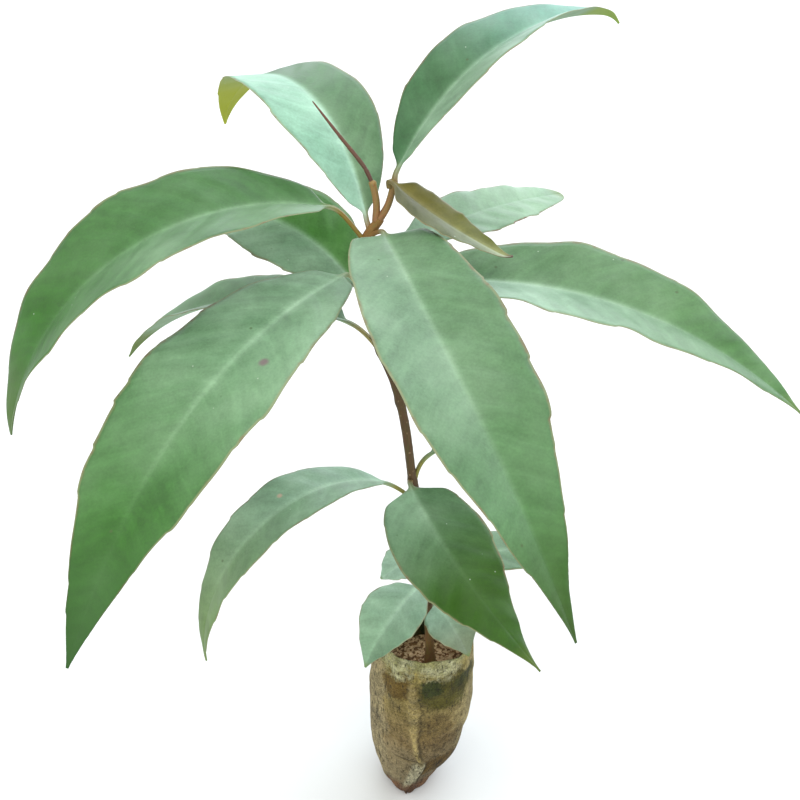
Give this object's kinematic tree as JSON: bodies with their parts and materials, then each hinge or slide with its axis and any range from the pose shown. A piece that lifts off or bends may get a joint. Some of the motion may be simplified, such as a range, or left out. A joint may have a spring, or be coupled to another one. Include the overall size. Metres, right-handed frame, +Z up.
{
  "type": "potted young kadsura coccinea plant in a small nursery bag",
  "caption": "Young evergreen climber with long arching leathery leaves on one thin stem, standing in a small soil-filled cloth nursery bag.",
  "frame": {"origin": "on the bag's flat underside, under the middle of the bag's body", "axes": "+Z up along the plant, -Y towards the front of the plant, +X to the right"},
  "size_m": [0.3037, 0.2439, 0.3704],
  "materials": {
    "bag_cloth": "matt non-woven cloth, stained",
    "potting_mix": "rough damp potting mix",
    "stem_bark": "rough dark brown bark",
    "twig_bark": "smooth orange-brown young bark",
    "bud_scale": "smooth reddish-brown bud scale",
    "leaf_green": "leathery leaf with a soft gloss",
    "young_leaf": "olive-brown young leaf with a soft gloss"
  },
  "bodies": {
    "root": {"bag": "bag_cloth", "soil": "potting_mix", "stem": "stem_bark", "twig_left": "twig_bark", "twig_right": "twig_bark", "bud": "bud_scale", "leaf_left_arching": "leaf_green", "leaf_upper_left": "leaf_green", "leaf_left_front": "leaf_green", "leaf_front": "leaf_green", "leaf_right": "leaf_green", "leaf_back_right": "leaf_green", "leaf_back_left": "leaf_green", "leaf_far_left": "leaf_green", "leaf_back_low": "leaf_green", "leaf_lower_left": "leaf_green", "leaf_lower_front": "leaf_green", "leaf_lower_right": "leaf_green", "leaf_low_right": "leaf_green", "leaf_low_left": "leaf_green", "leaf_foot_left": "leaf_green", "leaf_foot_right": "leaf_green", "leaf_top_right": "leaf_green", "leaf_young": "young_leaf"}
  },
  "joints": []
}
